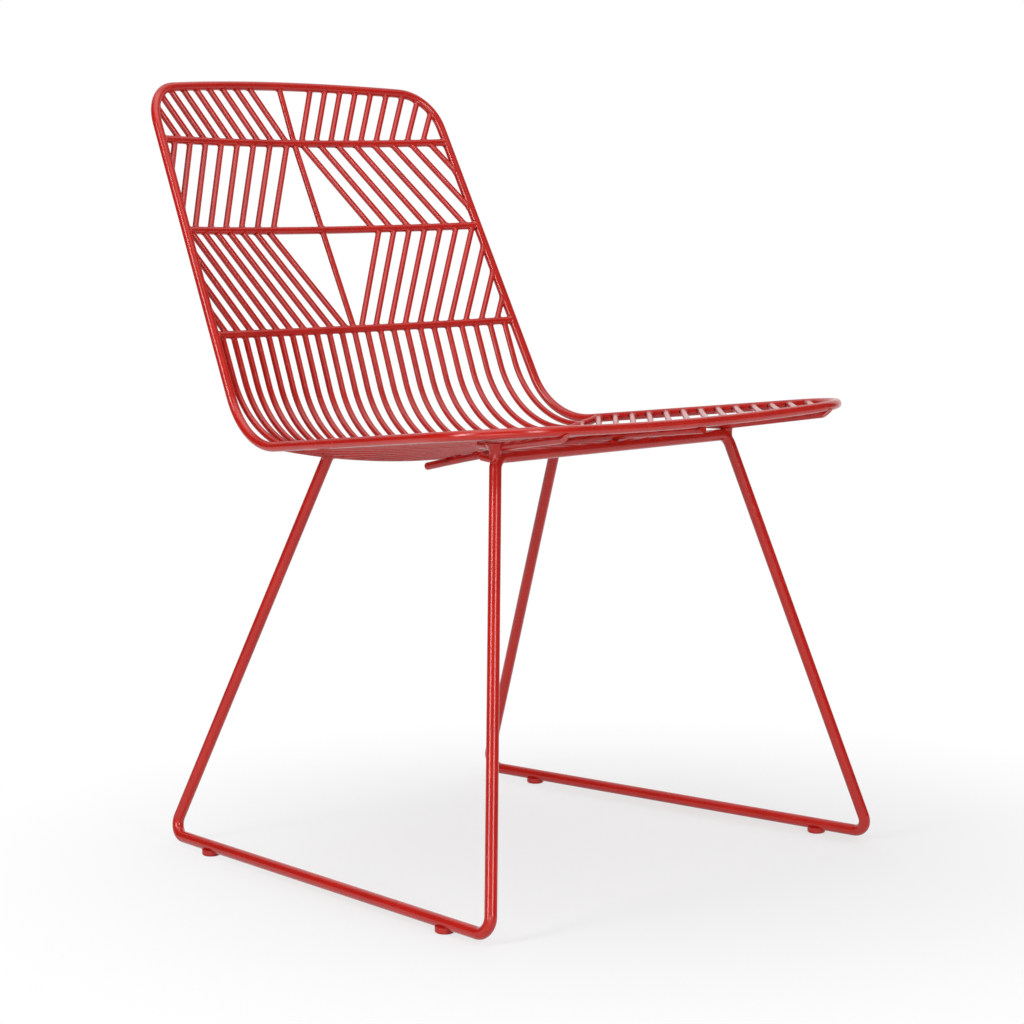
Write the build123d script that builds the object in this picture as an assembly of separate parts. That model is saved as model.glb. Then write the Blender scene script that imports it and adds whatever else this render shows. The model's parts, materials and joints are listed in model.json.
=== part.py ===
from build123d import *
import os
from math import acos, atan, ceil, cos, floor, hypot, radians, sin, sqrt, tan

# A wire dining chair in millimetres: +Z up, the sitter faces -Y, the floor is Z = 0.
# Depths below are measured from the middle of the floor runners and shifted at the end.

# Rod and wire diameters, and the rounding of a rod's free end
rim_rod = 9.5
rail_rod = 8.0
wire_rod = 6.2
base_rod = 11.6
end_round = 2.2

# Rim: virtual corners of one side, at half widths, depths and heights
overall_height = 775.25
back_top_half = 196.5
back_top_depth = 313.0
bend_half = 216.5
bend_depth = 143.5
bend_height = 410.5
front_half = 273.5
front_depth = -260.0
front_height = 455.0
top_corner_radius = 48.0
bend_radius = 76.0
front_corner_radius = 90.0
corner_straight = 4.0

# Hollow of the back and dish of the seat
back_hollow = 27.0
crown_rise = 6.5
rail_droop = 3.0
seat_dish = 24.0
front_dip = 7.0
spine_bow = 5.0

# Back rails, measured down the back from the virtual top corner
upper_rail_run = 57.0
middle_rail_run = 158.0
lower_rail_run = 272.0

# Back pattern: slanted wires, leaning alternate ways from band to band
pattern_lean = 31.0
pattern_first = 10.0
upper_pitch = 20.0
middle_pitch = 24.0
lower_pitch = 20.0
shortest_wire = 25.0

# Lower wires and seat
lower_wire_count = 23
lower_wire_top_inset = 11.3
lower_wire_foot_inset = 28.0
lower_bend_back = 11.0
lower_bend_rise = 11.0
lower_bend_share = 0.9
seat_rail_run = 64.0
seat_lean = 42.7
seat_pitch = 24.4
wire_bend_share = 0.6
spine_overhang = 33.0
weld_sink = 0.4

# Base
rod_bend_radius = 14.0
floor_front_half = 274.0
floor_rear_half = 227.0
runner_half_length = 253.0
rear_leg_half = 163.0
front_leg_half = 164.0
crossbar_depth = -150.0
crossbar_half = 125.0

# Seat brackets, and the posts and stubs at the tops of the front legs
bracket_front_half = 188.0
bracket_overhang = 4.0
bracket_sink = 2.4
bracket_bevel = 8.0
bracket_cross_half = 160.0
bracket_tail = 34.0
bracket_tail_inward = 9.0
bracket_bend_radius = 30.0
post_rise = 10.0
stub_length = 22.0
stub_lift = 0.5
stub_rise = 2.0

# Glides
glide_diameter = 18.5
glide_drop = 3.5
glide_wall = 2.5
glide_round = 2.2
glide_pin = 4.5
glide_pin_length = 6.0
glide_pin_clearance = 0.1
rear_glide_inset = 70.0
front_glide_inset = 64.0

rim_r = rim_rod / 2
rail_r = rail_rod / 2
wire_r = wire_rod / 2
base_r = base_rod / 2
depth_centre = (front_depth + back_top_depth + back_hollow) / 2

side_top = Vector(back_top_half, back_top_depth, overall_height - rim_r - crown_rise)
side_bend = Vector(bend_half, bend_depth, bend_height)
side_front = Vector(front_half, front_depth, front_height)
back_length = (side_bend - side_top).length
seat_length = (side_front - side_bend).length


def solve(error, low, high):
    """The value between low and high at which a rising error passes zero."""
    for _ in range(60):
        middle = (low + high) / 2
        if error(middle) < 0:
            low = middle
        else:
            high = middle
    return (low + high) / 2


def mirrored(point):
    return Vector(-point.X, point.Y, point.Z)


def corner_reach(corner, before, after, radius):
    """How far along each leg a corner's fillet reaches."""
    return radius / tan((before - corner).get_angle(after - corner) * radians(0.5))


def corner_middle(corner, before, after, radius):
    """The middle of a corner's fillet."""
    to_before = (before - corner).normalized()
    to_after = (after - corner).normalized()
    half_angle = acos(to_before.dot(to_after)) / 2
    return corner + (to_before + to_after).normalized() * (radius / sin(half_angle) - radius)


def rod(path, diameter):
    return sweep(Plane(origin=path @ 0, z_dir=path % 0) * Circle(diameter / 2), path=path).solid()


def straight_rod(start, end, diameter):
    return rod(Line(start, end), diameter)


def bowed_rod(start, middle, end, diameter):
    return rod(ThreePointArc(start, middle, end), diameter)


def rounded_rear(piece):
    """The piece with its rearmost end face rounded."""
    return fillet(piece.faces().filter_by(GeomType.PLANE).sort_by(Axis.Y)[-1].edges(), end_round)


def coped(piece, *neighbours):
    """The piece with its neighbours' space cut away, without the offcuts."""
    for neighbour in neighbours:
        piece = max((piece - neighbour).solids(), key=lambda solid: solid.volume)
    return piece


# A bowed edge is two straight legs with one wide fillet at a virtual apex
def apex_height(half_span, bow, reach):
    """Height of the apex over the chord, for a fillet of a given reach whose middle stands at the bow."""
    def error(height):
        return height - reach(height) * tan(atan(height / half_span) / 2) - bow
    return solve(error, bow, 4 * bow)


def bowed_apex(corner, next_corner, radius, bow):
    """Apex at X = 0, and its fillet radius, for a rim edge that is bowed between two rounded corners."""
    foot = Vector(0, corner.Y, corner.Z)
    way = bow.normalized()

    def reach(height):
        apex = foot + way * height
        return (apex - corner).length - corner_reach(corner, apex, next_corner, radius) - corner_straight

    height = apex_height(corner.X, bow.length, reach)
    return foot + way * height, reach(height) * corner.X / height


def bowed_wire(start, middle, end):
    """A wire with straight ends and one wide bend that passes through the middle point."""
    chord_middle = (start + end) / 2
    half_span = (end - start).length / 2
    bow = middle - chord_middle

    def reach(height):
        return wire_bend_share * hypot(half_span, height)

    height = apex_height(half_span, bow.length, reach)
    apex = chord_middle + bow.normalized() * height
    return rod(FilletPolyline(start, apex, end, radius=[reach(height) * half_span / height]), wire_rod)


top_apex, top_radius = bowed_apex(side_top, side_bend, top_corner_radius, Vector(0, back_hollow, crown_rise))
front_apex, front_radius = bowed_apex(side_front, side_bend, front_corner_radius, Vector(0, 0, -front_dip))


def make_rim_left():
    """Half of the rim, on the sitter's left, from the middle of the top to the middle of the front."""
    path = FilletPolyline(
        mirrored(side_top), top_apex, side_top, side_bend, side_front, front_apex, mirrored(side_front),
        radius=[top_radius, top_corner_radius, bend_radius, front_corner_radius, front_radius],
    )
    return split(rod(path, rim_rod), bisect_by=Plane.YZ, keep=Keep.TOP).solid()


rim_left = make_rim_left()
rim_right = mirror(rim_left, about=Plane.YZ)


# Back: a point is given by its place across (u) and its run down the side rim (v)
def back_side(v):
    return side_top + (side_bend - side_top) * (v / back_length)


def back_point(u, v):
    side = back_side(v)
    hollow = 1 - (u / side.X) ** 2
    droop = rail_droop - (rail_droop + crown_rise) * max(0, 1 - v / upper_rail_run)
    return Vector(u, side.Y + back_hollow * hollow, side.Z - droop * hollow)


def back_half(v):
    """Half width of the back between the rim's axes, rounded at the top corners."""
    half = back_side(v).X
    if v >= top_corner_radius:
        return half
    return half - top_corner_radius + sqrt(top_corner_radius ** 2 - (top_corner_radius - v) ** 2)


def make_back_rail(run):
    end = back_side(run)
    rail = bowed_rod(mirrored(end), back_point(0, run), end, rail_rod)
    return coped(rail, rim_left, rim_right)


back_rail_upper = make_back_rail(upper_rail_run)
back_rail_middle = make_back_rail(middle_rail_run)
back_rail_lower = make_back_rail(lower_rail_run)


def slant_wires(start_run, end_run, pitch, start_bars, end_bars):
    """Wires of the left half of a band, each leaning outwards on its way from one run to the other."""
    way = 1 if end_run > start_run else -1
    lean = tan(radians(pattern_lean))
    wires = []
    u = pattern_first
    while u < back_side(start_run).X:
        def overshoot(travel, foot=u):
            return foot + lean * travel - back_half(start_run + way * travel)
        travel = abs(end_run - start_run)
        if overshoot(travel) > 0:
            travel = solve(overshoot, 0, travel)
        if travel / cos(radians(pattern_lean)) > shortest_wire:
            start = back_point(u, start_run)
            end = back_point(u + lean * travel, start_run + way * travel)
            wires.append(coped(straight_rod(start, end, wire_rod), *start_bars, *end_bars))
        u += pitch
    return wires


def centre_bar(start_run, end_run, *bars):
    return coped(straight_rod(back_point(0, start_run), back_point(0, end_run), wire_rod), *bars)


upper_band_left = slant_wires(upper_rail_run, 0, upper_pitch, [back_rail_upper], [rim_left])
middle_band_left = slant_wires(
    upper_rail_run, middle_rail_run, middle_pitch, [back_rail_upper], [back_rail_middle, rim_left])
lower_band_left = slant_wires(
    lower_rail_run, middle_rail_run, lower_pitch, [back_rail_lower], [back_rail_middle, rim_left])
back_centre_bars = [
    centre_bar(upper_rail_run, 0, back_rail_upper, rim_left, rim_right),
    centre_bar(upper_rail_run, middle_rail_run, back_rail_upper, back_rail_middle),
    centre_bar(middle_rail_run, lower_rail_run, back_rail_middle, back_rail_lower),
]


# Seat: its middle line is an arc from the rear seat rail to the front rim
def seat_side(y):
    """Point of the seat's straight side line at a depth."""
    return side_bend + (side_front - side_bend) * ((side_bend.Y - y) / (side_bend.Y - side_front.Y))


rear_rail_end = side_bend + (side_front - side_bend) * (seat_rail_run / seat_length)
middle_rear = Vector(0, rear_rail_end.Y, rear_rail_end.Z - seat_dish)
middle_front = Vector(0, front_depth, front_height - front_dip)
middle_chord = (middle_front - middle_rear).length
middle_radius = (middle_chord ** 2 / 4 + spine_bow ** 2) / (2 * spine_bow)
middle_up = Vector(0, middle_front.Z - middle_rear.Z, middle_rear.Y - middle_front.Y).normalized()
middle_hub = (middle_rear + middle_front) / 2 + middle_up * (spine_bow - middle_radius)


def middle_height(y, below=0.0):
    """Height of the seat's middle line at a depth, or of the line a distance below it."""
    return middle_hub.Z + sqrt((middle_radius - below) ** 2 - (y - middle_hub.Y) ** 2)


def seat_point(x, y):
    side = seat_side(y)
    return Vector(x, y, side.Z - (side.Z - middle_height(y)) * (1 - (x / side.X) ** 2))


seat_rear_rail = coped(
    bowed_rod(mirrored(rear_rail_end), middle_rear, rear_rail_end, rail_rod), rim_left, rim_right)

spine_below = wire_r + rail_r - weld_sink
seat_slope = tan(radians(seat_lean))
front_corner = corner_middle(side_front, side_bend, front_apex, front_corner_radius)


def spine_point(y):
    return Vector(0, y, middle_height(y, spine_below))


crossbar_height = spine_point(crossbar_depth).Z - rail_r - base_r + weld_sink
crossbar_end = Vector(crossbar_half, crossbar_depth, crossbar_height)
front_crossbar = straight_rod(mirrored(crossbar_end), crossbar_end, base_rod)


def make_seat_spine():
    rear = spine_point(middle_rear.Y + spine_overhang)
    front = spine_point(front_depth)
    spine = rounded_rear(bowed_rod(rear, spine_point((rear.Y + front.Y) / 2), front, rail_rod))
    return coped(spine, seat_rear_rail, front_crossbar, rim_left, rim_right)


seat_spine = make_seat_spine()


def seat_wire(x, y, *bars):
    """Left wire from a side rim or the rear rail, forwards and inwards to the spine or the front rim."""
    inward = min(x + wire_rod, (y - front_depth) / seat_slope)
    points = [seat_point(x - inward * share, y - inward * share * seat_slope) for share in (0, 0.5, 1)]
    return coped(bowed_wire(*points), *bars)


def mitred(wire):
    return split(wire, bisect_by=Plane.YZ, keep=Keep.TOP).solid()


def side_start(apex):
    """Depth at which the wire with a given apex leaves the side rim."""
    spread = (front_half - bend_half) / (bend_depth - front_depth)
    return (apex + seat_slope * (bend_half + spread * bend_depth)) / (1 + seat_slope * spread)


def make_seat_wires():
    """Left seat wires in three groups: from the rear rail, from the side to the spine, to the front rim.

    Each wire's line meets X = 0 at an apex. One wire starts where the rear rail meets the rim, and the
    apexes are spaced from it so that the front rim lies half way between two of them.
    """
    corner_apex = rear_rail_end.Y - rear_rail_end.X * seat_slope
    steps = round((corner_apex - front_depth) / seat_pitch - 0.5)
    pitch = (corner_apex - front_depth) / (steps + 0.5)
    foremost = front_corner.Y - front_corner.X * seat_slope + pitch / 2
    rearmost = rear_rail_end.Y - pitch / 2
    rear, middle, front = [], [], []
    first_step = ceil((foremost - front_depth) / pitch - 0.5)
    last_step = floor((rearmost - front_depth) / pitch - 0.5)
    for step in range(first_step, last_step + 1):
        apex = front_depth + (step + 0.5) * pitch
        if step > steps:
            x = (rear_rail_end.Y - apex) / seat_slope
            rear.append(mitred(seat_wire(x, rear_rail_end.Y, seat_rear_rail, seat_spine)))
            continue
        y = side_start(apex)
        x = seat_side(y).X
        if step >= 0:
            middle.append(mitred(seat_wire(x, y, rim_left, seat_rear_rail, seat_spine)))
        else:
            front.append(seat_wire(x, y, rim_left))
    return rear, middle, front


seat_rear_wires_left, seat_middle_wires_left, seat_front_wires_left = make_seat_wires()


def make_lower_wires():
    """Wires from the lower back rail, through the bend, to the rear seat rail."""
    wires = []
    top_half = back_side(lower_rail_run).X - lower_wire_top_inset
    foot_half = rear_rail_end.X - lower_wire_foot_inset
    seat_rise = (side_front.Z - side_bend.Z) / (side_bend.Y - side_front.Y)
    back_room = back_length - lower_rail_run - lower_bend_rise
    seat_room = bend_depth + lower_bend_back - rear_rail_end.Y
    bend_reach = lower_bend_share * min(back_room, seat_room)
    for index in range(lower_wire_count):
        share = 2 * index / (lower_wire_count - 1) - 1
        top = back_point(share * top_half, lower_rail_run)
        foot = seat_point(share * foot_half, rear_rail_end.Y)
        bend_y = top.Y - back_side(lower_rail_run).Y + side_bend.Y + lower_bend_back
        bend_z = foot.Z - (bend_y - foot.Y) * seat_rise + lower_bend_rise
        bend = Vector((top.X + 2 * foot.X) / 3, bend_y, bend_z)
        radius = bend_reach * tan((top - bend).get_angle(foot - bend) * radians(0.5))
        path = FilletPolyline(top, bend, foot, radius=[radius])
        wires.append(coped(rod(path, wire_rod), back_rail_lower, seat_rear_rail, seat_spine))
    return wires


lower_wires = make_lower_wires()


# Base: the left sled is one bent rod
rear_leg_top = seat_point(rear_leg_half, rear_rail_end.Y)
axis_height = glide_drop + base_r
floor_rear = Vector(floor_rear_half, runner_half_length, axis_height)
floor_front = Vector(floor_front_half, -runner_half_length, axis_height)
front_leg_top = Vector(front_leg_half, crossbar_depth, crossbar_height)


def runner_point(inset_from_rear):
    return floor_rear + (floor_front - floor_rear) * (inset_from_rear / (2 * runner_half_length))


rear_glide_place = runner_point(rear_glide_inset)
front_glide_place = runner_point(2 * runner_half_length - front_glide_inset)
left_glide_places = {"rear": rear_glide_place, "front": front_glide_place}


def upright(place, diameter, low, high):
    return Pos(place.X, place.Y, low) * Cylinder(
        diameter / 2, high - low, align=(Align.CENTER, Align.CENTER, Align.MIN))


def make_sled_left():
    path = FilletPolyline(
        rear_leg_top, floor_rear, floor_front, front_leg_top, crossbar_end, radius=rod_bend_radius,
    )
    sled = coped(rod(path, base_rod), seat_rear_rail, *lower_wires[lower_wire_count // 2:])
    for place in left_glide_places.values():
        hole = upright(place, glide_pin + 2 * glide_pin_clearance, 0, glide_drop + glide_pin_length)
        sled = coped(sled, hole)
    return sled


sled_left = make_sled_left()


def make_glide(place):
    """A disc saddled to the runner, with a pin that fills the runner's hole."""
    disc = upright(place, glide_diameter, 0, glide_drop + glide_wall)
    disc = fillet(disc.faces().sort_by(Axis.Z)[0].edges(), glide_round)
    runner = straight_rod(floor_rear, floor_front, base_rod)
    pin = upright(place, glide_pin, glide_drop / 2, glide_drop + glide_pin_length)
    return (coped(disc, runner) + pin).solid()


def make_bracket_left():
    """Bar from a bevelled end in the front rim, over the crossbar, to a blunt end behind it."""
    rim_height = front_height - front_dip + front_radius - sqrt(front_radius ** 2 - bracket_front_half ** 2)
    front = Vector(
        bracket_front_half, front_depth - bracket_overhang, rim_height - rim_r - rail_r + bracket_sink)
    crossing_height = crossbar_height + base_r + rail_r - weld_sink
    crossing = Vector(bracket_cross_half, crossbar_depth, crossing_height)
    tail = Vector(bracket_cross_half - bracket_tail_inward, crossbar_depth + bracket_tail, crossing_height)
    path = FilletPolyline(front, crossing, tail, radius=bracket_bend_radius)
    bevel = Plane(front + Vector(0, 0, rail_r), x_dir=(1, 0, 0), z_dir=(0, rail_rod, bracket_bevel))
    bar = split(rounded_rear(rod(path, rail_rod)), bevel, keep=Keep.TOP).solid()
    return coped(bar, rim_left, sled_left, *seat_front_wires_left)


seat_bracket_left = make_bracket_left()


def make_leg_post_left():
    """Short upright on the bend at the top of the front leg, beside the bracket."""
    post = straight_rod(front_leg_top, front_leg_top + Vector(0, 0, post_rise), base_rod)
    return coped(post, sled_left, seat_bracket_left)


leg_post_left = make_leg_post_left()


def make_leg_stub_left():
    """Short rod behind the bend at the top of the front leg."""
    bend = corner_middle(front_leg_top, floor_front, crossbar_end, rod_bend_radius)
    start = bend + Vector(0, 0, stub_lift)
    end = start + Vector(0, stub_length, stub_rise)
    return coped(rounded_rear(straight_rod(start, end, rail_rod)), sled_left, leg_post_left)


def write(name, *solids):
    shape = solids[0] if len(solids) == 1 else Compound(children=list(solids))
    export_step(Pos(0, -depth_centre, 0) * shape, f"parts/{name}.step")


def write_pair(name, *solids):
    """A left piece or group, and the right one as its mirror image."""
    write(f"{name}_left", *solids)
    write(f"{name}_right", *[mirror(solid, about=Plane.YZ) for solid in solids])


os.makedirs("parts", exist_ok=True)
write_pair("rim", rim_left)
write("back_rail_upper", back_rail_upper)
write("back_rail_middle", back_rail_middle)
write("back_rail_lower", back_rail_lower)
write_pair("upper_band_wires", *upper_band_left)
write_pair("middle_band_wires", *middle_band_left)
write_pair("lower_band_wires", *lower_band_left)
write("back_centre_bars", *back_centre_bars)
for number, wire in enumerate(lower_wires, start=1):
    write(f"lower_wire_{number:02d}", wire)
write("seat_rear_rail", seat_rear_rail)
write("seat_spine", seat_spine)
write_pair("seat_rear_wires", *seat_rear_wires_left)
write_pair("seat_middle_wires", *seat_middle_wires_left)
write_pair("seat_front_wires", *seat_front_wires_left)
write_pair("seat_bracket", seat_bracket_left)
write_pair("leg_post", leg_post_left)
write_pair("leg_stub", make_leg_stub_left())
write("front_crossbar", front_crossbar)
write_pair("sled", sled_left)
for end, place in left_glide_places.items():
    write_pair(f"{end}_glide", make_glide(place))
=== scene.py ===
# %% [markdown]
# A wire dining chair in red powder coat. Steel rods are bent into a rim, a seat, a back and two
# sleds, welded where they touch, and then the whole chair is sprayed with powder and baked.
# The rods come ready from the CAD frame, in metres, with +Z up and the sitter facing -Y. This
# lesson dresses them: one coating for the steel, one plastic for the floor glides, the small
# fillets that the welds leave, and a studio like the one that such a chair is sold in.

# %% Load the frame
import json
import math

import bmesh
import bpy
import numpy as np
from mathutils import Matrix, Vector
from mathutils.bvhtree import BVHTree

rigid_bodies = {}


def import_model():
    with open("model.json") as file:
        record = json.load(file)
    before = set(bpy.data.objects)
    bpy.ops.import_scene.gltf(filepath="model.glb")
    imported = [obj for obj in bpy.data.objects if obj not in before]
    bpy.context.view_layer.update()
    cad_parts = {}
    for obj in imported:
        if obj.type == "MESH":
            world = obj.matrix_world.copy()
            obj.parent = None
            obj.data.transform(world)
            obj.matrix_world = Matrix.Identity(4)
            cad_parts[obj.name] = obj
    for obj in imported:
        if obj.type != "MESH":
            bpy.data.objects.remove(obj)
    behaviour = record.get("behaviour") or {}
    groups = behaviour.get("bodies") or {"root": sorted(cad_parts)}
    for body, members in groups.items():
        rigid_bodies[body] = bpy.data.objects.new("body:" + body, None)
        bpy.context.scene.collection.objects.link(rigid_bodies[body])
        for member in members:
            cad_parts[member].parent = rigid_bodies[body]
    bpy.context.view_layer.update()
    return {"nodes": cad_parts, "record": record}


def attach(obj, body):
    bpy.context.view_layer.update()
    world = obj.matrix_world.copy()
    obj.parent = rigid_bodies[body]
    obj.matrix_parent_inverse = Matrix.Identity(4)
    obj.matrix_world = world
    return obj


for leftover in list(bpy.data.objects):
    bpy.data.objects.remove(leftover)

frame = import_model()
nodes = frame["nodes"]

# %% [markdown]
# A finish in Blender is a tree of nodes, and a few small steps come back in each of them: a
# noise of a known size, a stretch of its values, and a mix of two inputs. Each step gets a
# helper here, so that the trees further on read like recipes. Sizes are given in millimetres,
# as a maker would say them.

# %% Helpers for node trees
MILLIMETRE = 0.001
UNIT_BLOB = 0.5  # metres across a blob of noise at scale 1
MIX_SOCKETS = {"RGBA": (6, 7, 2), "FLOAT": (2, 3, 0)}  # first, second and result of a Mix node


def new_group(name, inputs, outputs):
    group = bpy.data.node_groups.new(name, "ShaderNodeTree")
    for in_out, sockets in (("INPUT", inputs), ("OUTPUT", outputs)):
        for socket_name, kind in sockets.items():
            group.interface.new_socket(socket_name, in_out=in_out, socket_type=kind)
    return group, group.nodes.new("NodeGroupInput"), group.nodes.new("NodeGroupOutput")


def add_noise(tree, coordinates, feature_size, detail):
    """Noise whose blobs are about feature_size metres across."""
    noise = tree.nodes.new("ShaderNodeTexNoise")
    noise.inputs["Scale"].default_value = UNIT_BLOB / feature_size
    noise.inputs["Detail"].default_value = detail
    tree.links.new(coordinates, noise.inputs["Vector"])
    return noise.outputs["Fac"]


def add_range(tree, value, low, high):
    """Stretches the values between low and high to the whole of 0 to 1."""
    stretch = tree.nodes.new("ShaderNodeMapRange")
    stretch.inputs["From Min"].default_value = low
    stretch.inputs["From Max"].default_value = high
    tree.links.new(value, stretch.inputs["Value"])
    return stretch.outputs["Result"]


def add_mix(tree, kind, factor, first, second):
    mix = tree.nodes.new("ShaderNodeMix")
    mix.data_type = kind
    first_index, second_index, result_index = MIX_SOCKETS[kind]
    for value, index in ((factor, 0), (first, first_index), (second, second_index)):
        tree.links.new(value, mix.inputs[index])
    return mix.outputs[result_index]


print("noise at scale 1 has blobs of about", UNIT_BLOB, "m")

# %% [markdown]
# Powder melts into a skin that is never quite flat. It has a shallow orange peel of about a
# millimetre, a slight drift of tone along a rod where the layer is thicker or thinner, and
# patches that shine a little less. The glides show the same kinds of unevenness at other
# strengths, so the effect is a node group that both finishes share. It works in object
# coordinates, which need no unwrapping and run on from one rod to the next without a seam.

# %% Coating skin, a shared node group
DRIFT_SIZE, DRIFT_DETAIL, DRIFT_RANGE = 26 * MILLIMETRE, 3.0, (0.3, 0.7)
DULL_SIZE, DULL_DETAIL, DULL_RANGE = 5 * MILLIMETRE, 4.0, (0.35, 0.7)
PEEL_SIZE, PEEL_DETAIL = 1.3 * MILLIMETRE, 1.5

coating_skin, skin_in, skin_out = new_group(
    "coating_skin",
    {"Thick Tone": "NodeSocketColor", "Thin Tone": "NodeSocketColor",
     "Gloss Roughness": "NodeSocketFloat", "Dull Roughness": "NodeSocketFloat"},
    {"Color": "NodeSocketColor", "Roughness": "NodeSocketFloat", "Height": "NodeSocketFloat"})
skin_place = coating_skin.nodes.new("ShaderNodeTexCoord").outputs["Object"]
drift = add_noise(coating_skin, skin_place, DRIFT_SIZE, DRIFT_DETAIL)
thickness = add_range(coating_skin, drift, *DRIFT_RANGE)
patches = add_noise(coating_skin, skin_place, DULL_SIZE, DULL_DETAIL)
dullness = add_range(coating_skin, patches, *DULL_RANGE)
peel = add_noise(coating_skin, skin_place, PEEL_SIZE, PEEL_DETAIL)
given = skin_in.outputs
color = add_mix(coating_skin, "RGBA", thickness, given["Thin Tone"], given["Thick Tone"])
roughness = add_mix(
    coating_skin, "FLOAT", dullness, given["Gloss Roughness"], given["Dull Roughness"])
for value, socket in ((color, "Color"), (roughness, "Roughness"), (peel, "Height")):
    coating_skin.links.new(value, skin_out.inputs[socket])
print("group coating_skin:", len(coating_skin.nodes), "nodes")

# %% [markdown]
# The coating is a saturated signal red with a satin gloss. A Principled shader takes the red
# and the roughness from the shared skin, a Bump node turns the peel into relief, and a thin
# clear coat adds the sharp part of the highlight. The glides are moulded in the same red, but
# nylon is a little duller and has no clear coat.

# %% Materials
SPECULAR_LEVEL = 0.4
COAT_ROUGHNESS = 0.12
POWDER_SKIN = {
    "Thick Tone": (0.44, 0.013, 0.008, 1.0), "Thin Tone": (0.38, 0.010, 0.006, 1.0),
    "Gloss Roughness": 0.20, "Dull Roughness": 0.28}
NYLON_SKIN = {
    "Thick Tone": (0.41, 0.014, 0.010, 1.0), "Thin Tone": (0.36, 0.011, 0.008, 1.0),
    "Gloss Roughness": 0.32, "Dull Roughness": 0.44}


def skin_material(name, skin_values, peel_depth, coat):
    material = bpy.data.materials.new(name)
    material.use_nodes = True
    tree = material.node_tree
    shader = tree.nodes["Principled BSDF"]
    skin = tree.nodes.new("ShaderNodeGroup")
    skin.node_tree = coating_skin
    for socket, value in skin_values.items():
        skin.inputs[socket].default_value = value
    bump = tree.nodes.new("ShaderNodeBump")
    bump.inputs["Strength"].default_value = 1.0
    bump.inputs["Distance"].default_value = peel_depth
    tree.links.new(skin.outputs["Height"], bump.inputs["Height"])
    tree.links.new(skin.outputs["Color"], shader.inputs["Base Color"])
    tree.links.new(skin.outputs["Roughness"], shader.inputs["Roughness"])
    tree.links.new(bump.outputs["Normal"], shader.inputs["Normal"])
    shader.inputs["Specular IOR Level"].default_value = SPECULAR_LEVEL
    shader.inputs["Coat Weight"].default_value = coat
    shader.inputs["Coat Roughness"].default_value = COAT_ROUGHNESS
    return material


finishes = {
    "powder_coat": skin_material(
        "red_powder_coat", POWDER_SKIN, peel_depth=0.006 * MILLIMETRE, coat=0.1),
    "glide_nylon": skin_material(
        "red_nylon", NYLON_SKIN, peel_depth=0.005 * MILLIMETRE, coat=0.0),
}
print("finishes:", ", ".join(finishes))

# %% [markdown]
# The chair is all one red, but its steel is coated and its glides are moulded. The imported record
# names a material slot for each CAD node, so the finishes are handed out from there and not by
# guessing from names. The meshes themselves stay as they came.

# %% Coat the nodes
slot_of = {subpart["node"]: subpart["material_slot"] for subpart in frame["record"]["subparts"]}
for name, piece in nodes.items():
    piece.data.materials.clear()
    piece.data.materials.append(finishes[slot_of[name]])
glide_count = sum(slot_of[name] == "glide_nylon" for name in nodes)
print("coated:", len(nodes) - glide_count, "steel nodes and", glide_count, "glides")

# %% [markdown]
# Where a wire meets a rail, the weld leaves a small concave fillet, and the powder rounds it
# further. A Boolean with a bevel would be slow and fragile over some two hundred joints. It is
# simpler to find each wire's end in its mesh, look along the wire's axis for the rod that it
# lands on, and loft a short collar from the wire to that rod's surface. The first step takes a
# node apart into its rods, by walking from vertex to vertex along the edges.

# %% Take the nodes apart
MERGE_DISTANCE = 1e-6


def welded_solids(node):
    """The separate solids of a node, as lists of vertices in a merged mesh."""
    mesh = bmesh.new()
    mesh.from_mesh(nodes[node].data)
    bmesh.ops.remove_doubles(mesh, verts=mesh.verts, dist=MERGE_DISTANCE)
    seen = set()
    for start in mesh.verts:
        if start in seen:
            continue
        seen.add(start)
        found = [start]
        for vertex in found:
            for edge in vertex.link_edges:
                neighbour = edge.other_vert(vertex)
                if neighbour not in seen:
                    seen.add(neighbour)
                    found.append(neighbour)
        yield found
    mesh.free()


print("rods in the chair:", sum(1 for node in nodes for _ in welded_solids(node)))

# %% [markdown]
# A rod's end has no label in the mesh. The two tips of a rod are its points farthest from each
# other, and close to a tip the normals of the wall all stand square to the rod, so the direction
# in which they vary least is its axis. This holds for straight rods and for bent ones. A sled is
# bent so far that its tips need another test: the rear leg ends at the highest point behind
# the middle.

# %% Find the ends of the rods
WIRE_RADIUS = 3.1 * MILLIMETRE
RAIL_RADIUS = 4.0 * MILLIMETRE
LEG_RADIUS = 5.8 * MILLIMETRE
END_REACH = 3  # rod radii that count as the end of a rod


def rod_end(solid, end, middle, radius):
    """Centre and outward direction of the rod end that a given vertex belongs to."""
    ring = [vertex for vertex in solid if (vertex.co - Vector(end)).length < END_REACH * radius]
    faces = dict.fromkeys(face for vertex in ring for face in vertex.link_faces)
    spread = sum(face.calc_area() * np.outer(face.normal, face.normal) for face in faces)
    _, directions = np.linalg.eigh(spread)
    axis = directions[:, 0] * np.sign(directions[:, 0] @ (end - middle))
    crosswise = directions[:, 1:]
    across = np.array([vertex.co for vertex in ring]) @ crosswise
    centre = crosswise @ ((across.min(axis=0) + across.max(axis=0)) / 2) + axis * (end @ axis)
    return Vector(centre), Vector(axis)


def rod_ends(solid, radius):
    """The two ends of a rod, straight or bent."""
    places = np.array([vertex.co for vertex in solid])
    middle = places.mean(axis=0)

    def farthest(point):
        return places[((places - point) ** 2).sum(axis=1).argmax()]

    tip = farthest(farthest(middle))
    return [rod_end(solid, end, middle, radius) for end in (tip, farthest(tip))]


def rear_leg_end(solid):
    """The upper end of a sled's rear leg."""
    places = np.array([vertex.co for vertex in solid])
    rear = places[places[:, 1] > 0]
    return rod_end(solid, rear[rear[:, 2].argmax()], places.mean(axis=0), LEG_RADIUS)


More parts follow.
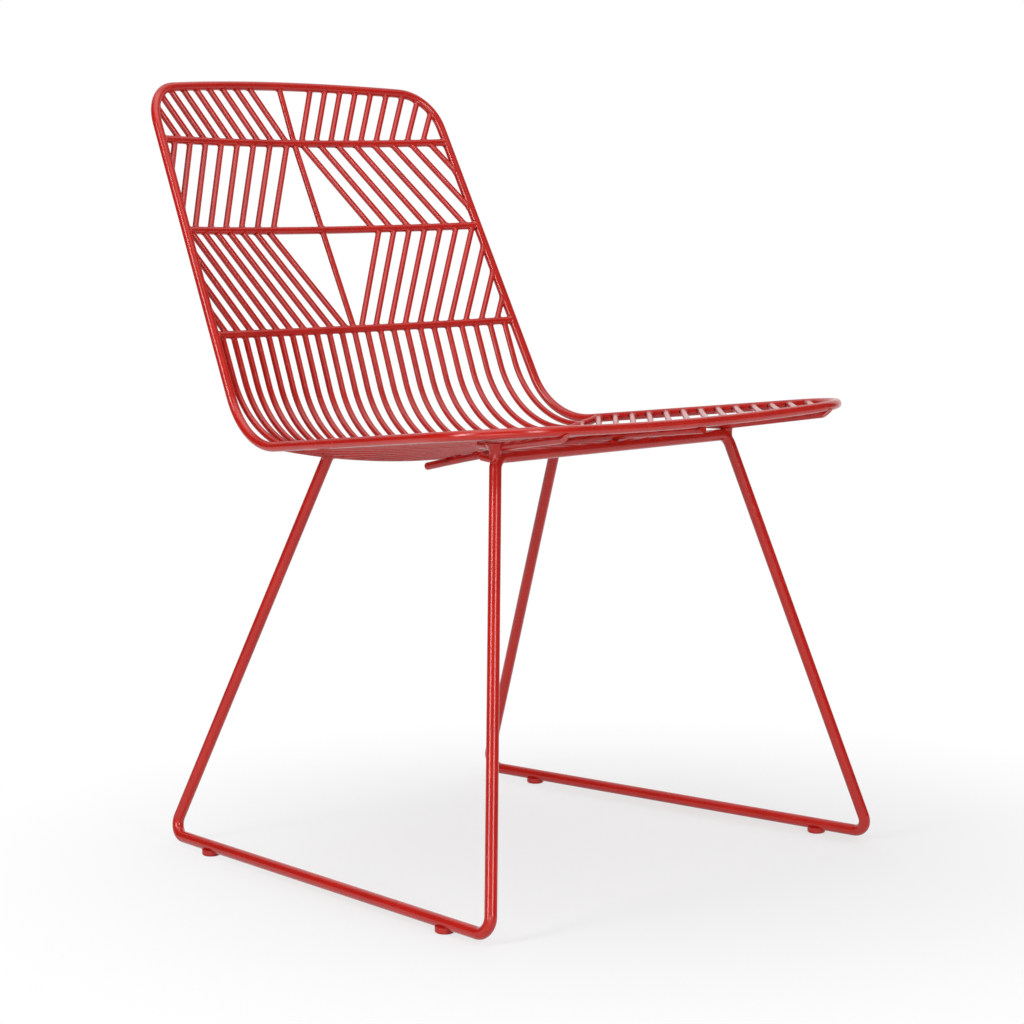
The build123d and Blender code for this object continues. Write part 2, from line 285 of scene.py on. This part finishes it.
ends = {}
for words, radius in ((("wire", "centre_bars"), WIRE_RADIUS),
                      (("rail", "bracket", "stub"), RAIL_RADIUS)):
    for name in nodes:
        if any(word in name for word in words):
            ends[name] = [end for solid in welded_solids(name) for end in rod_ends(solid, radius)]
for name in ("sled_left", "sled_right"):
    ends[name] = [rear_leg_end(solid) for solid in welded_solids(name)]
print("rod ends:", sum(len(found) for found in ends.values()))

# %% [markdown]
# A fillet's section is a quarter of a bead: it starts a few millimetres up the wire, bends
# through the corner between wire and rod, and ends on the rod's surface. Its points lie on a
# curve with those three places as its controls, sunk a few hundredths of a millimetre into the
# steel so that no gap shows, and a last point inside the wire closes the section. A search tree
# over the carrying rods tells where each ray along the wire lands.

# %% Shape a weld fillet
FILLET_SINK = 0.06 * MILLIMETRE
ROUND_STEPS = 20
PROFILE_STEPS = 4
LOOK_BACK = 9 * MILLIMETRE
LOOK_ON = 8 * MILLIMETRE


def surface_tree(names):
    """One search tree over the surfaces of several nodes."""
    points, faces = [], []
    for name in names:
        mesh = nodes[name].data
        offset = len(points)
        points.extend(vertex.co for vertex in mesh.vertices)
        faces.extend([offset + index for index in face.vertices] for face in mesh.polygons)
    return BVHTree.FromPolygons(points, faces)


def fillet_sections(centre, axis, radius, leg, carrier):
    """Sections round a joint, each from wire to carrying rod and back inside, or None."""

    def land(point):
        return carrier.ray_cast(point - axis * LOOK_BACK, axis, LOOK_BACK + LOOK_ON)[0]

    landing = land(centre)
    if landing is None:
        return None
    side = axis.orthogonal().normalized()
    lift = axis.cross(side)
    sections = []
    for step in range(ROUND_STEPS):
        angle = 2 * math.pi * step / ROUND_STEPS
        out = side * math.cos(angle) + lift * math.sin(angle)
        corner = land(landing + out * radius)
        if corner is None:
            corner = carrier.find_nearest(landing + out * radius)[0]
        on_wire = corner - axis * leg - out * FILLET_SINK
        on_carrier, normal, _, _ = carrier.find_nearest(corner + out * leg)
        on_carrier = on_carrier - normal * FILLET_SINK
        section = []
        for index in range(PROFILE_STEPS + 1):
            t = index / PROFILE_STEPS
            section.append(
                on_wire * (1 - t) ** 2 + corner * (2 * t * (1 - t)) + on_carrier * t ** 2)
        section.append(landing + out * radius / 2 - axis * leg / 2)
        sections.append(section)
    return sections


print("a fillet has", ROUND_STEPS, "sections of", PROFILE_STEPS + 2, "points")

# %% [markdown]
# On the real chair the beads are part of the coated steel, so in Blender all the fillets of one
# kind make one mesh, which rides on the chair's body and wears the same powder coat. One mesh
# for each bead would only make a long list of tiny objects. Faces with four corners are shaded
# smooth, and end caps stay flat.

# %% Helpers for pieces of weld
QUAD = 4


def coated_piece(name, points, faces):
    """A closed mesh that rides with the chair and wears its coating; end caps stay flat."""
    mesh = bpy.data.meshes.new(name)
    mesh.from_pydata(points, [], faces)
    work = bmesh.new()
    work.from_mesh(mesh)
    bmesh.ops.recalc_face_normals(work, faces=work.faces)
    work.to_mesh(mesh)
    work.free()
    smooth = [face.loop_total == QUAD for face in mesh.polygons]
    mesh.polygons.foreach_set("use_smooth", smooth)
    mesh.materials.append(finishes["powder_coat"])
    piece = bpy.data.objects.new(name, mesh)
    bpy.context.scene.collection.objects.link(piece)
    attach(piece, "root")


def weld_piece(name, joints, carriers):
    """One piece with the fillets of several joints."""
    tree = surface_tree(carriers)
    points, faces, fillets = [], [], 0
    for centre, axis, radius, leg in joints:
        sections = fillet_sections(centre, axis, radius, leg, tree)
        if sections is None:
            continue
        fillets += 1
        first, size = len(points), len(sections[0])
        points.extend(point for section in sections for point in section)
        for step in range(ROUND_STEPS):
            here = first + size * step
            beside = first + size * ((step + 1) % ROUND_STEPS)
            for index in range(size):
                after = (index + 1) % size
                faces.append([here + index, beside + index, beside + after, here + after])
    coated_piece(name, points, faces)
    print(name, fillets, "fillets of", len(joints), "ends")


print("quads are smooth; faces with more than", QUAD, "corners stay flat")

# %% [markdown]
# The welds are made group by group, and each group names the rods that may carry it, so that a
# wire's ray can't land on a neighbour. A welder lays a longer bead on a thicker rod, and the
# fillet's leg follows that.

# %% Weld the shell and the legs
FILLET_LEG = {"wire": 2.6 * MILLIMETRE, "rail": 3.0 * MILLIMETRE, "leg": 4.0 * MILLIMETRE}


def joints_of(gauge, radius, *words):
    """The ends of all nodes whose names hold one of the words, with their fillet sizes."""
    chosen = [name for name in sorted(ends) if any(word in name for word in words)]
    return [(*end, radius, FILLET_LEG[gauge]) for name in chosen for end in ends[name]]


rims = ["rim_left", "rim_right"]
sleds = ["sled_left", "sled_right"]
back_rails = ["back_rail_upper", "back_rail_middle", "back_rail_lower"]
weld_piece("back_pattern_welds", joints_of("wire", WIRE_RADIUS, "band_wires", "centre_bars"),
           rims + back_rails)
weld_piece("lower_wire_welds", joints_of("wire", WIRE_RADIUS, "lower_wire_"),
           ["back_rail_lower", "seat_rear_rail"])
weld_piece("seat_wire_welds",
           joints_of("wire", WIRE_RADIUS, "seat_rear_wires", "seat_middle", "seat_front"),
           rims + ["seat_rear_rail"])
weld_piece("rail_welds", joints_of("rail", RAIL_RADIUS, "back_rail", "rear_rail"), rims)
weld_piece("bracket_welds", joints_of("rail", RAIL_RADIUS, "bracket", "stub"), rims + sleds)
weld_piece("leg_welds", joints_of("leg", LEG_RADIUS, "sled"), ["seat_rear_rail"])

# %% [markdown]
# The short posts on the front legs carry the heaviest welds of the chair. At the top the bead
# runs out like the bell of a trumpet against the bracket, just under the seat wires. A spun
# profile gives that shape: rings of growing radius up the bell, then a few shrinking ones over
# a rounded crown.

# %% Flare the leg posts
FLARE_WIDTH = 5.0 * MILLIMETRE
FLARE_START = 1.0 * MILLIMETRE
FLARE_RISE = 3.2 * MILLIMETRE
FLARE_CURVE = 2.5
FLARE_RINGS = 8
CROWN_RISE = 1.2 * MILLIMETRE
CROWN_SHARES = (0.9, 0.7, 0.4)

post_boxes = {}
for side in ("left", "right"):
    corners = np.array(nodes["leg_post_" + side].bound_box)
    post_boxes[side] = corners.min(axis=0), corners.max(axis=0)


def flare_profile(low, high):
    """Radius and height of each ring, up the bell of the flare and over its crown."""
    bottom, top = low[2] + FLARE_START, high[2] + FLARE_RISE
    for ring in range(FLARE_RINGS + 1):
        t = ring / FLARE_RINGS
        radius = LEG_RADIUS - FILLET_SINK + FLARE_WIDTH * t ** FLARE_CURVE
        yield radius, bottom + t * (top - bottom)
    for share in CROWN_SHARES:
        yield radius * share, top + CROWN_RISE * (1 - share ** 2)


flare_points, flare_faces = [], []
for low, high in post_boxes.values():
    middle = (low + high) / 2
    first = len(flare_points)
    for ring, (radius, height) in enumerate(flare_profile(low, high)):
        for step in range(ROUND_STEPS):
            angle = 2 * math.pi * step / ROUND_STEPS
            flare_points.append((middle[0] + radius * math.cos(angle),
                                 middle[1] + radius * math.sin(angle), height))
            if ring:
                here = first + ring * ROUND_STEPS + step
                beside = first + ring * ROUND_STEPS + (step + 1) % ROUND_STEPS
                flare_faces.append([here - ROUND_STEPS, beside - ROUND_STEPS, beside, here])
    flare_faces.append(list(range(first, first + ROUND_STEPS)))
    flare_faces.append(list(range(len(flare_points) - ROUND_STEPS, len(flare_points))))
coated_piece("post_flares", flare_points, flare_faces)
print("post flares:", len(post_boxes), "with", len(flare_faces), "faces")

# %% [markdown]
# At its foot each post stands on the bend of its leg. A fillet closes that seam, made in the same
# way as the others: the post's own box gives the centre of its foot, and the ray goes straight
# down on to the sled.

# %% Close the seams under the posts
DOWN = Vector((0.0, 0.0, -1.0))

for side, (low, high) in post_boxes.items():
    middle = (low + high) / 2
    foot = Vector((middle[0], middle[1], low[2]))
    weld_piece("post_welds_" + side, [(foot, DOWN, LEG_RADIUS, FILLET_LEG["rail"])],
               ["sled_" + side])

# %% [markdown]
# The chair stands in a white studio: a pale floor that takes a soft shadow close to the runners
# and fades into a white surround. A real sweep of paper would need much more light to clip to
# white everywhere, and that light would spoil the red. Here the floor and the world look white
# to the camera and to reflections only, through the Light Path node, and light the chair as a
# calm grey room.

# %% Rays that see white
WHITE_RAYS = ("Is Camera Ray", "Is Glossy Ray", "Is Transmission Ray")


def seen_directly(tree):
    """1 for the white rays, 0 for the rays that carry light to the chair."""
    rays = tree.nodes.new("ShaderNodeLightPath")
    total = rays.outputs[WHITE_RAYS[0]]
    for name in WHITE_RAYS[1:]:
        highest = tree.nodes.new("ShaderNodeMath")
        highest.operation = "MAXIMUM"
        tree.links.new(total, highest.inputs[0])
        tree.links.new(rays.outputs[name], highest.inputs[1])
        total = highest.outputs[0]
    return total


print("white is seen by:", ", ".join(WHITE_RAYS))

# %% [markdown]
# The floor is one flat sheet. Its paper mixes a matte grey, which takes the shadow, with a white
# glow. The glow's share grows with the distance from the chair, so the shadow fades out before
# the sheet's edge and no horizon shows.

# %% Floor
FLOOR_SIZE = 14.0
SHADOW_REACH = 0.15
WHITE_REACH = 0.75
PAPER_CENTRE = (0.06, -0.16, 0.0)
PAPER_GLOW = 0.57
PAPER_GREY = (0.66, 0.66, 0.66, 1.0)

half = FLOOR_SIZE / 2
floor_mesh = bpy.data.meshes.new("studio_floor")
floor_mesh.from_pydata(
    [(-half, -half, 0), (half, -half, 0), (half, half, 0), (-half, half, 0)], [], [(0, 1, 2, 3)])
floor = bpy.data.objects.new("studio_floor", floor_mesh)
bpy.context.scene.collection.objects.link(floor)

paper = bpy.data.materials.new("studio_paper")
paper.use_nodes = True
tree = paper.node_tree
tree.nodes.clear()
paper_out = tree.nodes.new("ShaderNodeOutputMaterial")
matte = tree.nodes.new("ShaderNodeBsdfDiffuse")
matte.inputs["Color"].default_value = PAPER_GREY
white = tree.nodes.new("ShaderNodeEmission")
place = tree.nodes.new("ShaderNodeTexCoord")
from_centre = tree.nodes.new("ShaderNodeVectorMath")
from_centre.operation = "SUBTRACT"
from_centre.inputs[1].default_value = PAPER_CENTRE
tree.links.new(place.outputs["Object"], from_centre.inputs[0])
distance = tree.nodes.new("ShaderNodeVectorMath")
distance.operation = "LENGTH"
tree.links.new(from_centre.outputs["Vector"], distance.inputs[0])
fade = tree.nodes.new("ShaderNodeMapRange")
fade.interpolation_type = "SMOOTHSTEP"
fade.inputs["From Min"].default_value = SHADOW_REACH
fade.inputs["From Max"].default_value = WHITE_REACH
fade.inputs["To Min"].default_value = PAPER_GLOW
tree.links.new(distance.outputs["Value"], fade.inputs["Value"])
share = tree.nodes.new("ShaderNodeMath")
share.operation = "MULTIPLY"
tree.links.new(fade.outputs["Result"], share.inputs[0])
tree.links.new(seen_directly(tree), share.inputs[1])
blend = tree.nodes.new("ShaderNodeMixShader")
tree.links.new(share.outputs[0], blend.inputs[0])
tree.links.new(matte.outputs[0], blend.inputs[1])
tree.links.new(white.outputs[0], blend.inputs[2])
tree.links.new(blend.outputs[0], paper_out.inputs["Surface"])
floor_mesh.materials.append(paper)
print("floor fades to white between", SHADOW_REACH, "and", WHITE_REACH, "m")

# %% [markdown]
# The world is the room round the floor. Where it is looked at, it is plain white. Where it only
# sends light, it is much dimmer, so that the softboxes shape the rods and the room just keeps
# their shaded sides from going black.

# %% World
ROOM_LIGHT = 0.15
WHITE = (1.0, 1.0, 1.0, 1.0)

world = bpy.data.worlds.new("studio")
bpy.context.scene.world = world
world.use_nodes = True
tree = world.node_tree
background = tree.nodes["Background"]
background.inputs["Color"].default_value = WHITE
level = tree.nodes.new("ShaderNodeMapRange")
level.inputs["To Min"].default_value = ROOM_LIGHT
tree.links.new(seen_directly(tree), level.inputs["Value"])
tree.links.new(level.outputs["Result"], background.inputs["Strength"])
print("room light", ROOM_LIGHT)

# %% [markdown]
# The photograph shows two highlights down the near front leg. A highlight on a round rod says
# where its lamp stands: a normal turned by an angle sends the reflection twice as far round.
# That puts one softbox well to the left of the camera and one to its right. The leg leans
# towards the camera at its foot, so its reflections rise, and along the leg they climb a metre:
# both boxes are tall strips. A large softbox overhead lights the seat, and a low one fills the
# legs. Two wide fills light the back and the far side. They are left out of the reflections, so
# that the rods stay red there.

# %% Lights
CAMERA_PLACE = Vector((-1.9406, -1.9588, 0.6723))
CAMERA_BEARING = math.atan2(CAMERA_PLACE.y, CAMERA_PLACE.x)
OVERHEAD = Vector((-0.3, -0.3, 2.5))
AIM = Vector((0.0, -0.05, 0.42))


def softbox(name, place, width, height, power, mirrored=True):
    lamp = bpy.data.lights.new(name, "AREA")
    lamp.shape = "RECTANGLE"
    lamp.size = width
    lamp.size_y = height
    lamp.energy = power
    box = bpy.data.objects.new(name, lamp)
    box.location = place
    box.rotation_euler = (AIM - place).to_track_quat("-Z", "Y").to_euler()
    box.visible_glossy = mirrored
    bpy.context.scene.collection.objects.link(box)
    print(name, "at", [round(v, 2) for v in place], "power", power)


def round_the_chair(angle_from_camera, distance, height):
    """A place at an angle to the camera, seen from the chair: positive is to its right."""
    turn = CAMERA_BEARING + math.radians(angle_from_camera)
    return Vector((distance * math.cos(turn), distance * math.sin(turn), height))


softbox("softbox_left", round_the_chair(-47, 2.3, 1.2), width=0.55, height=1.4, power=33)
softbox("softbox_right", round_the_chair(29, 2.5, 1.2), width=0.6, height=1.4, power=30)
softbox("softbox_low", round_the_chair(-10, 2.2, 0.4), width=1.4, height=0.5, power=9)
softbox("softbox_above", OVERHEAD, width=2.0, height=2.0, power=22)
softbox("fill_back", round_the_chair(165, 3.0, 1.6), width=3.0, height=2.0, power=50,
        mirrored=False)
softbox("fill_side", round_the_chair(95, 3.0, 1.4), width=2.0, height=2.0, power=26,
        mirrored=False)

# %% [markdown]
# Red paint in a white room would look milky, because every rod would mirror white on all sides.
# Photographers hang dark cloth round the camera for this. The curtain here is a long arc of dark
# fabric that only the chair sees: it keeps the reds deep between the highlights, and stays out
# of the picture.

# %% Dark curtain
CURTAIN_RADIUS = 3.4
CURTAIN_FOOT = 0.02
CURTAIN_HEIGHT = 3.8
CURTAIN_HALF_ANGLE = 130
CURTAIN_STEPS = 32
CLOTH_COLOUR = (0.04, 0.035, 0.03, 1.0)
CLOTH_ROUGHNESS = 0.9

curtain_points, curtain_faces = [], []
for step in range(CURTAIN_STEPS + 1):
    angle = CURTAIN_HALF_ANGLE * (2 * step / CURTAIN_STEPS - 1)
    for height in (CURTAIN_FOOT, CURTAIN_HEIGHT):
        curtain_points.append(round_the_chair(angle, CURTAIN_RADIUS, height))
    if step:
        curtain_faces.append([2 * step - 2, 2 * step, 2 * step + 1, 2 * step - 1])
curtain_mesh = bpy.data.meshes.new("dark_curtain")
curtain_mesh.from_pydata(curtain_points, [], curtain_faces)
cloth = bpy.data.materials.new("dark_cloth")
cloth.use_nodes = True
cloth_shader = cloth.node_tree.nodes["Principled BSDF"]
cloth_shader.inputs["Base Color"].default_value = CLOTH_COLOUR
cloth_shader.inputs["Roughness"].default_value = CLOTH_ROUGHNESS
curtain_mesh.materials.append(cloth)
curtain = bpy.data.objects.new("dark_curtain", curtain_mesh)
curtain.visible_camera = False
bpy.context.scene.collection.objects.link(curtain)
print("curtain of", len(curtain_faces), "panels, radius", CURTAIN_RADIUS, "m")

# %% [markdown]
# The camera stands where the photograph was taken from. Its place, direction and focal length
# were fitted to the corners of the frame, which left less than a pixel of error, so no shift and
# no depth of field are needed.

# %% Camera
CAMERA_YAW = math.radians(45.473)
CAMERA_PITCH = math.radians(6.91)
SENSOR = 36.0
FOCAL_PIXELS = 2745.9
PHOTO_PIXELS = 1024

lens = bpy.data.cameras.new("camera")
lens.sensor_width = SENSOR
lens.lens = FOCAL_PIXELS / PHOTO_PIXELS * SENSOR
camera = bpy.data.objects.new("camera", lens)
camera.location = CAMERA_PLACE
camera.rotation_euler = (math.pi / 2 - CAMERA_PITCH, 0.0, -CAMERA_YAW)
bpy.context.scene.collection.objects.link(camera)
bpy.context.scene.camera = camera
bpy.context.scene.view_settings.view_transform = "Standard"
print("camera lens", round(lens.lens, 2), "mm")
